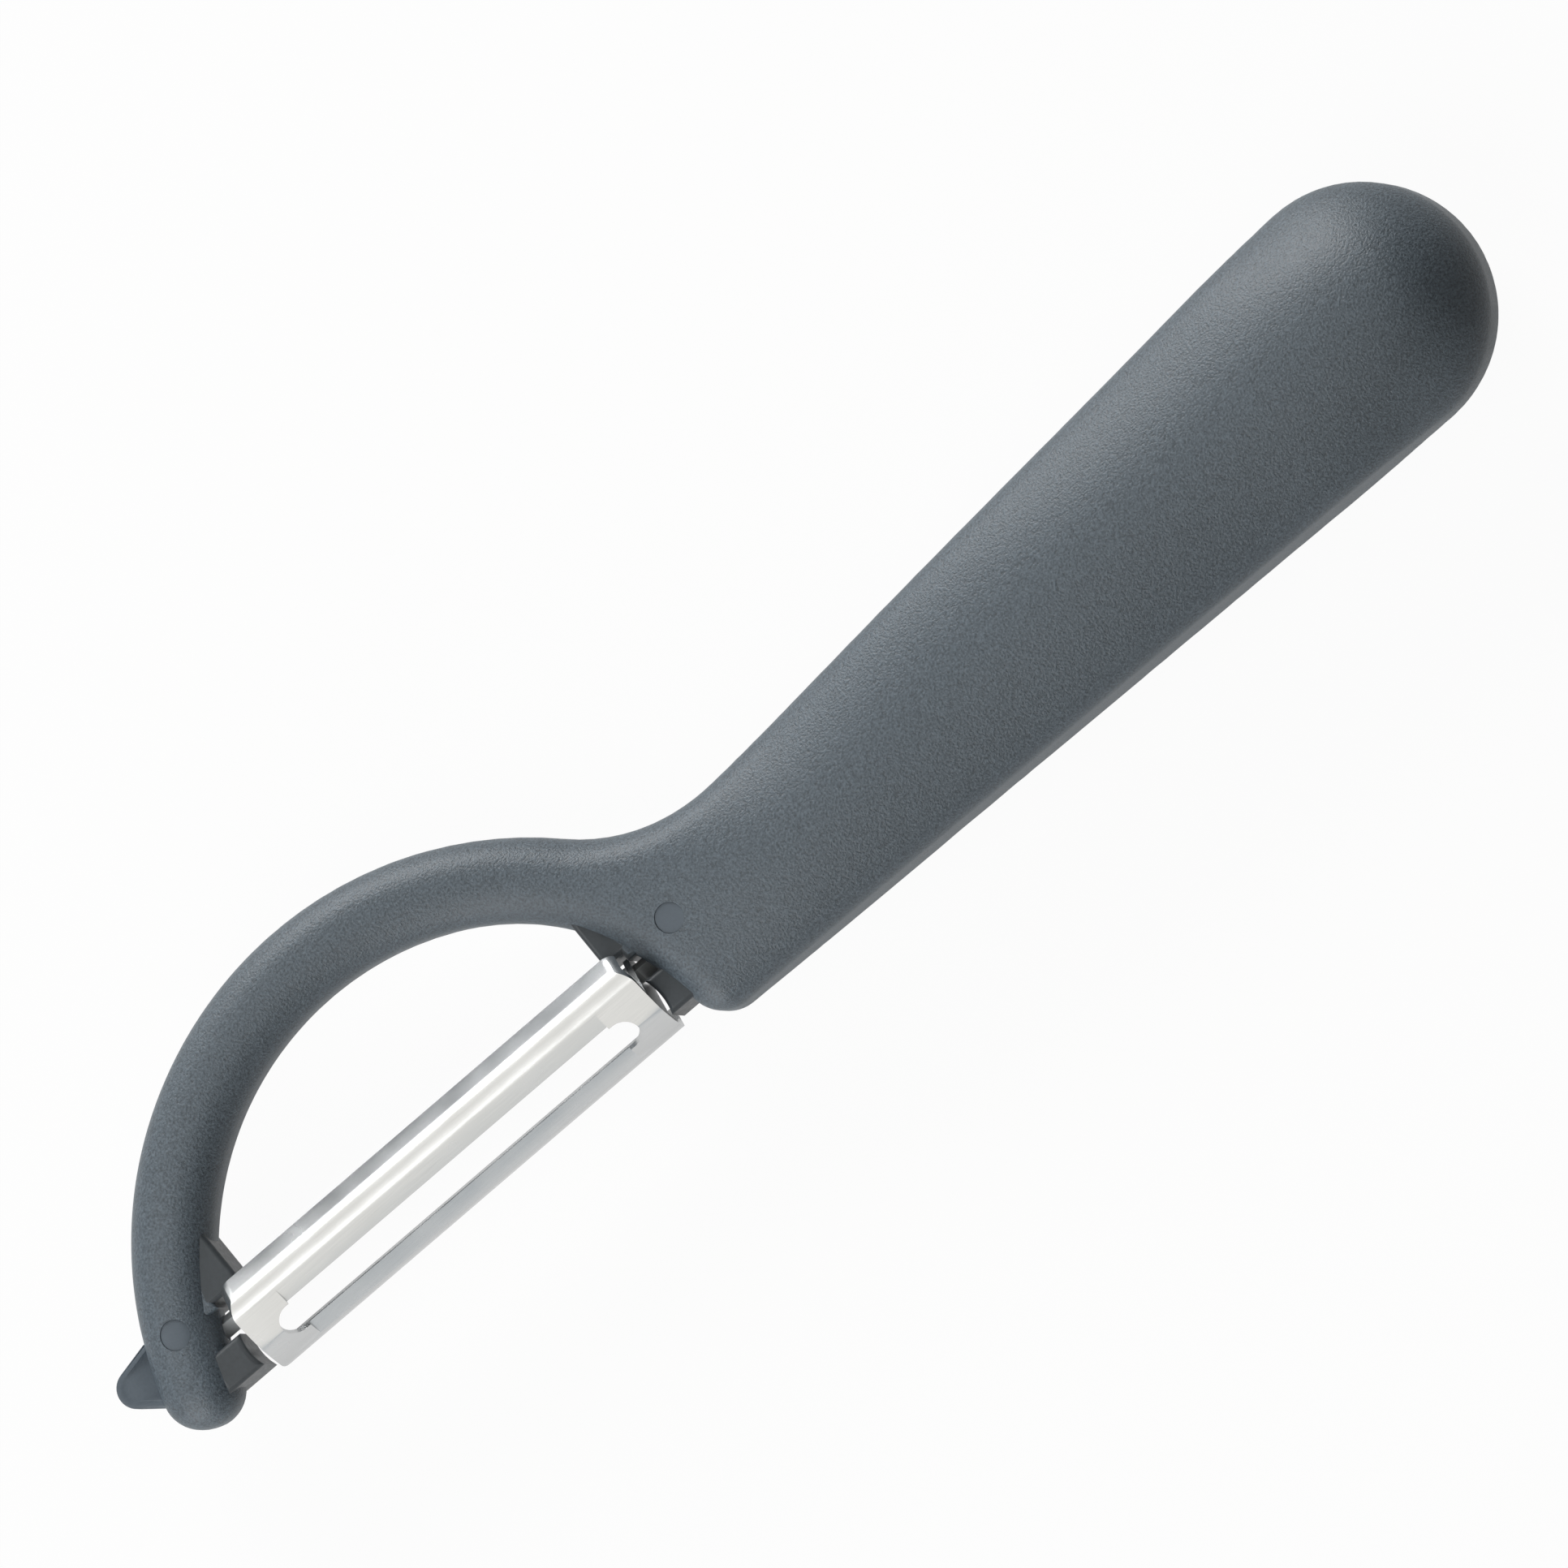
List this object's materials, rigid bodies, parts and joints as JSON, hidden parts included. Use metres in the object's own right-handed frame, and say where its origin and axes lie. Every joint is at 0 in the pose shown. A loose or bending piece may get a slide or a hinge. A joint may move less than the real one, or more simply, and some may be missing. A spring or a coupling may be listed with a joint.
{
  "type": "vegetable peeler",
  "caption": "Hand peeler with a thick tapering handle, a D-shaped bow, a slotted double-edged blade that swivels across it and an eye remover.",
  "frame": {"origin": "centre of the whole peeler's box, on the moulding's parting plane", "axes": "+X along the handle to its round end, +Y to the bow's crest, +Z out of the front face"},
  "size_m": [0.193, 0.0403, 0.0212],
  "materials": {
    "handle_plastic": "moulded slate grey polypropylene with a fine grain",
    "blade_steel": "stamped stainless strip with ground bevels",
    "pin_steel": "plain drawn steel, dull",
    "lock_plastic": "moulded slate grey plastic, smoother than the handle"
  },
  "bodies": {
    "handle": {"handle_bow": "handle_plastic", "handle_lock_pin": "lock_plastic", "tip_lock_pin": "lock_plastic"},
    "swivel_blade": {"blade": "blade_steel", "handle_pivot_pin": "pin_steel", "tip_pivot_pin": "pin_steel"}
  },
  "joints": [
    {"name": "blade_swivel", "type": "hinge", "parent": "handle", "child": "swivel_blade", "pos_m": [-0.05237, -0.00889, 0], "axis": [1, 0, 0], "range_deg": [-16, 106]}
  ]
}
